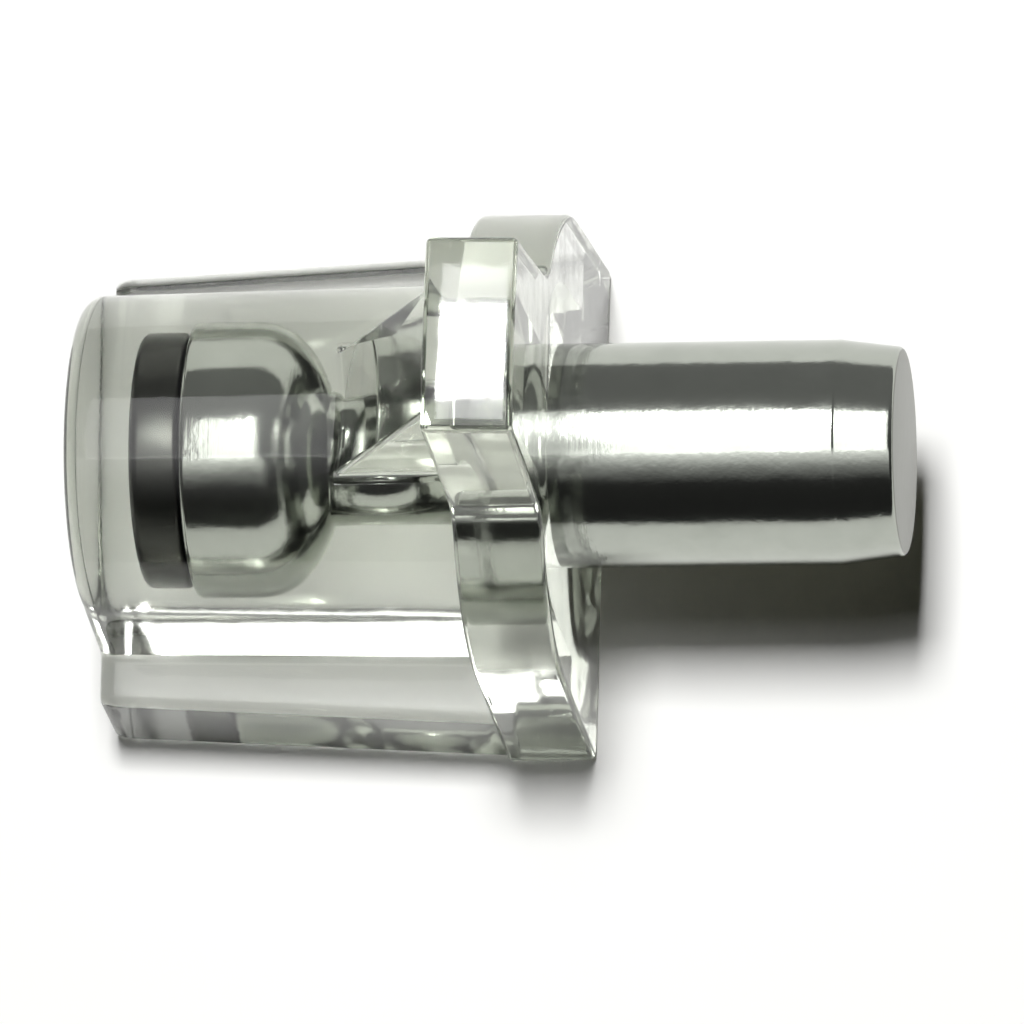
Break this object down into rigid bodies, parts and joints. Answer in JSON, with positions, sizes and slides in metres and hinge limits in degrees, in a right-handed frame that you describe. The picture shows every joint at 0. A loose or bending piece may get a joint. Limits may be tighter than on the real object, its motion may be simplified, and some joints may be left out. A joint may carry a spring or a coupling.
{
  "type": "shelf support pin",
  "caption": "Clear moulded shelf support with a flat shelf face, a barrel, a flange that bears on the side panel, and a plated steel pin for a 5 mm hole.",
  "frame": {"origin": "on the pin's axis, in the plane of the flange's wall face", "axes": "+X out along the pin, away from the flange; +Z from the shelf face towards the end of the stem; the shelf face lies in the X-Y plane at the bottom"},
  "size_m": [0.0184, 0.0116, 0.0142],
  "materials": {
    "clear_body": "clear moulded plastic, smooth and glossy, faint grey-green tint",
    "steel_pin": "bright plated steel, fine turned grain"
  },
  "bodies": {
    "root": {"clear_body": "clear_body", "steel_pin": "steel_pin"}
  },
  "joints": []
}
